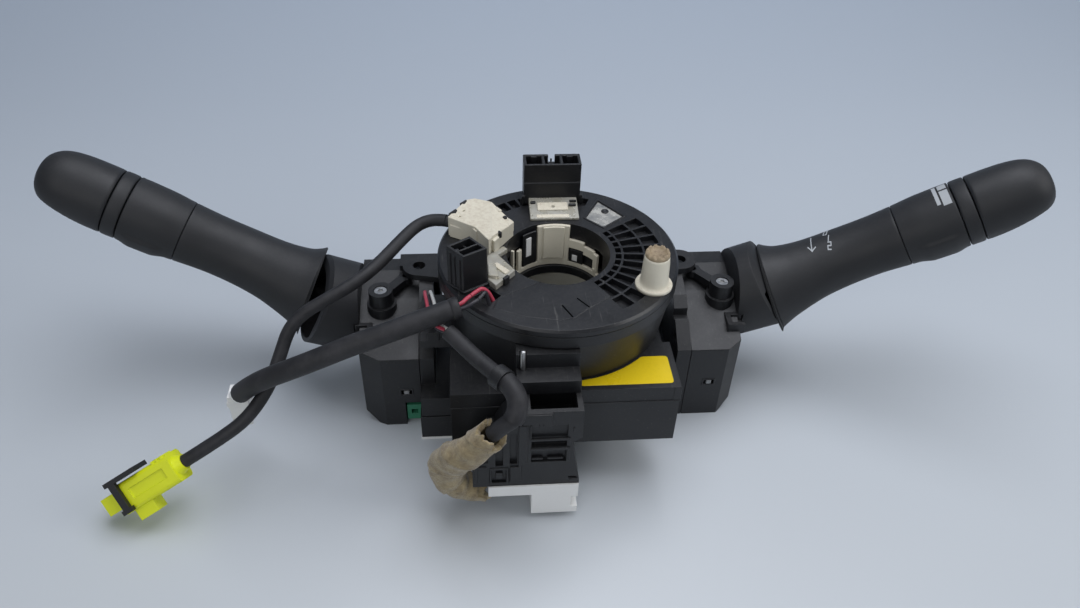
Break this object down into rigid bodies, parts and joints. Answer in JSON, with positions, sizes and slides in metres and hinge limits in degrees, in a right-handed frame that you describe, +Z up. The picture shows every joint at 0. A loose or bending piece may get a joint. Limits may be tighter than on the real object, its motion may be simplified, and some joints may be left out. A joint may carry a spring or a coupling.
{
  "type": "steering column combination switch with angle sensor",
  "caption": "Steering column switch unit with a spiral cable disc, steering angle sensor box, two stalk levers and two corded leads.",
  "frame": {"origin": "steering axis at the level of the seating face of the switch base", "axes": "+Z up the column towards the driver, +X to the wiper lever, -Y to the harness connector"},
  "size_m": [0.4449, 0.1448, 0.1219],
  "materials": {
    "black_plastic": "satin",
    "soft_black_plastic": "matt",
    "cream_plastic": "satin",
    "clear_plastic": "gloss",
    "inner_plastic": "satin",
    "board": "gloss",
    "flex_foil": "gloss",
    "plated_steel": "satin",
    "green_plastic": "satin",
    "tube_rubber": "matt",
    "foam_tape": "matt",
    "wire_insulation": "satin",
    "yellow_plastic": "satin"
  },
  "bodies": {
    "housing": {"base_wires": "wire_insulation", "flat_cable": "flex_foil", "front_connector": "black_plastic", "left_contact_plate": "green_plastic", "left_cowl": "soft_black_plastic", "left_socket": "black_plastic", "left_socket_rim": "cream_plastic", "left_switch_case": "black_plastic", "left_switch_cover": "black_plastic", "lower_tube": "tube_rubber", "post_screws": "plated_steel", "reel_housing": "black_plastic", "right_cowl": "soft_black_plastic", "right_switch_case": "black_plastic", "right_switch_cover": "black_plastic", "sensor_board": "board", "sensor_case": "black_plastic", "sensor_cover": "black_plastic", "sheath_plug": "cream_plastic", "sheath_wires": "wire_insulation", "switch_base": "black_plastic", "tape_wrap": "foam_tape", "thick_sheath": "tube_rubber", "thin_lead": "tube_rubber", "tube_clip": "black_plastic", "white_connector": "cream_plastic", "yellow_plug": "yellow_plastic"},
    "rotor": {"rotor_disc": "black_plastic", "sector_cover": "soft_black_plastic", "neutral_window": "clear_plastic", "cancel_sleeve": "cream_plastic", "drive_pin": "cream_plastic", "rear_socket": "black_plastic", "rear_retainer": "clear_plastic", "side_socket": "black_plastic", "side_retainer": "clear_plastic", "lead_plug": "cream_plastic", "lead_stub": "tube_rubber", "rotor_wires": "wire_insulation", "sensor_main_gear": "inner_plastic"},
    "gear_a": {"sensor_gear_a": "inner_plastic"},
    "gear_b": {"sensor_gear_b": "inner_plastic"},
    "right_carrier": {"right_lever_yoke": "inner_plastic"},
    "right_lever": {"right_stalk": "soft_black_plastic", "right_ring": "soft_black_plastic"},
    "right_collar": {"right_collar": "soft_black_plastic"},
    "right_knob": {"right_knob": "soft_black_plastic"},
    "left_carrier": {"left_lever_yoke": "inner_plastic"},
    "left_lever": {"left_stalk": "soft_black_plastic", "left_ring": "soft_black_plastic"},
    "left_collar": {"left_collar": "soft_black_plastic"},
    "left_knob": {"left_knob": "soft_black_plastic"},
    "plug_lock": {"yellow_plug_lock": "black_plastic"}
  },
  "joints": [
    {"name": "rotor_turn", "type": "hinge", "parent": "housing", "child": "rotor", "pos_m": [0, 0, 0], "axis": [0, 0, 1], "range_deg": [-720, 720]},
    {"name": "gear_a_turn", "type": "hinge", "parent": "housing", "child": "gear_a", "pos_m": [0.01987, -0.0318, 0.04], "axis": [0, 0, 1], "range_deg": [-1980, 1980]},
    {"name": "gear_b_turn", "type": "hinge", "parent": "housing", "child": "gear_b", "pos_m": [-0.01954, -0.03127, 0.04], "axis": [0, 0, 1], "range_deg": [-2112, 2112]},
    {"name": "right_swing", "type": "hinge", "parent": "housing", "child": "right_carrier", "pos_m": [0.07, 0.025, 0.031], "axis": [0, 0, 1], "range_deg": [-12, 6]},
    {"name": "right_pull", "type": "hinge", "parent": "right_carrier", "child": "right_lever", "pos_m": [0.07, 0.025, 0.031], "axis": [0, -1, 0], "range_deg": [0, 8], "stiffness_Nm_per_rad": 1.2, "springref_deg": -17.19},
    {"name": "right_collar_turn", "type": "hinge", "parent": "right_lever", "child": "right_collar", "pos_m": [0.16203, 0.0161, 0.08156], "axis": [0.826, -0.156, 0.5416], "range_deg": [-30, 30]},
    {"name": "right_knob_turn", "type": "hinge", "parent": "right_lever", "child": "right_knob", "pos_m": [0.16203, 0.0161, 0.08156], "axis": [0.826, -0.156, 0.5416], "range_deg": [-30, 60]},
    {"name": "left_swing", "type": "hinge", "parent": "housing", "child": "left_carrier", "pos_m": [-0.075, 0.025, 0.031], "axis": [0, 0, 1], "range_deg": [0, 30]},
    {"name": "left_pull", "type": "hinge", "parent": "left_carrier", "child": "left_lever", "pos_m": [-0.075, 0.025, 0.031], "axis": [0.2588, 0.9659, 0], "range_deg": [0, 8]},
    {"name": "left_collar_turn", "type": "hinge", "parent": "left_lever", "child": "left_collar", "pos_m": [-0.16946, 0.0411, 0.07485], "axis": [-0.8736, 0.0726, 0.4812], "range_deg": [0, 30]},
    {"name": "left_knob_turn", "type": "hinge", "parent": "left_lever", "child": "left_knob", "pos_m": [-0.16946, 0.0411, 0.07485], "axis": [-0.8736, 0.0726, 0.4812], "range_deg": [0, 60]},
    {"name": "plug_lock_slide", "type": "slide", "parent": "housing", "child": "plug_lock", "axis": [-0.1333, -0.8276, 0.5453], "range_m": [0, 0.003]}
  ],
  "couplings": [
    {"joint": "gear_a_turn", "follows": "rotor_turn", "ratio": -2.75},
    {"joint": "gear_b_turn", "follows": "rotor_turn", "ratio": -2.9333}
  ]
}
